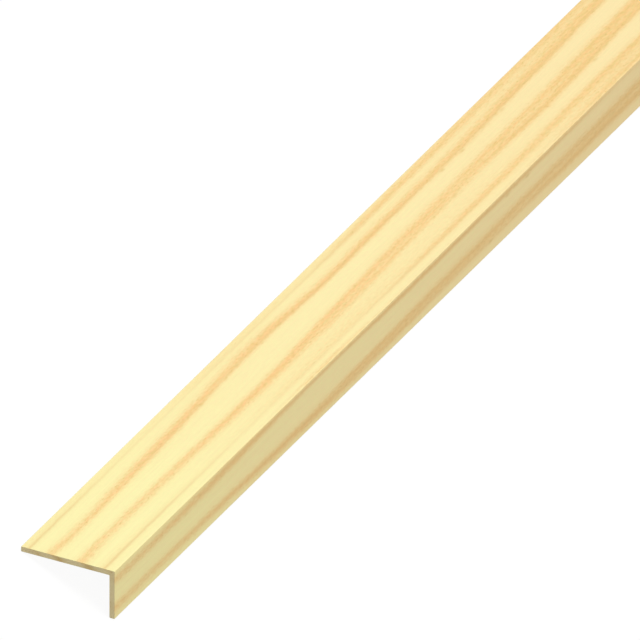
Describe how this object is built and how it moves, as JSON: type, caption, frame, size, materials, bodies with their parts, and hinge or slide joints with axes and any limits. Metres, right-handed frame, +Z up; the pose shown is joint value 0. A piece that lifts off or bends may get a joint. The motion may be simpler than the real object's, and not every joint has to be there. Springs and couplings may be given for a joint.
{
  "type": "corner guard moulding",
  "caption": "Long, thin pine L-section with unequal legs that covers and protects an outside corner of a wall, lining or board edge.",
  "frame": {"origin": "at mid-length, on the level surface that the two leg tips rest on, halfway across the piece", "axes": "+X along the length, +Y towards the wide leg's tip, +Z up through the ridge-side of the piece"},
  "size_m": [2.4, 0.045, 0.0196],
  "materials": {
    "pine": "planed and sanded pine under a thin, clear, satin finish"
  },
  "bodies": {
    "root": {"corner_guard": "pine"}
  },
  "joints": []
}
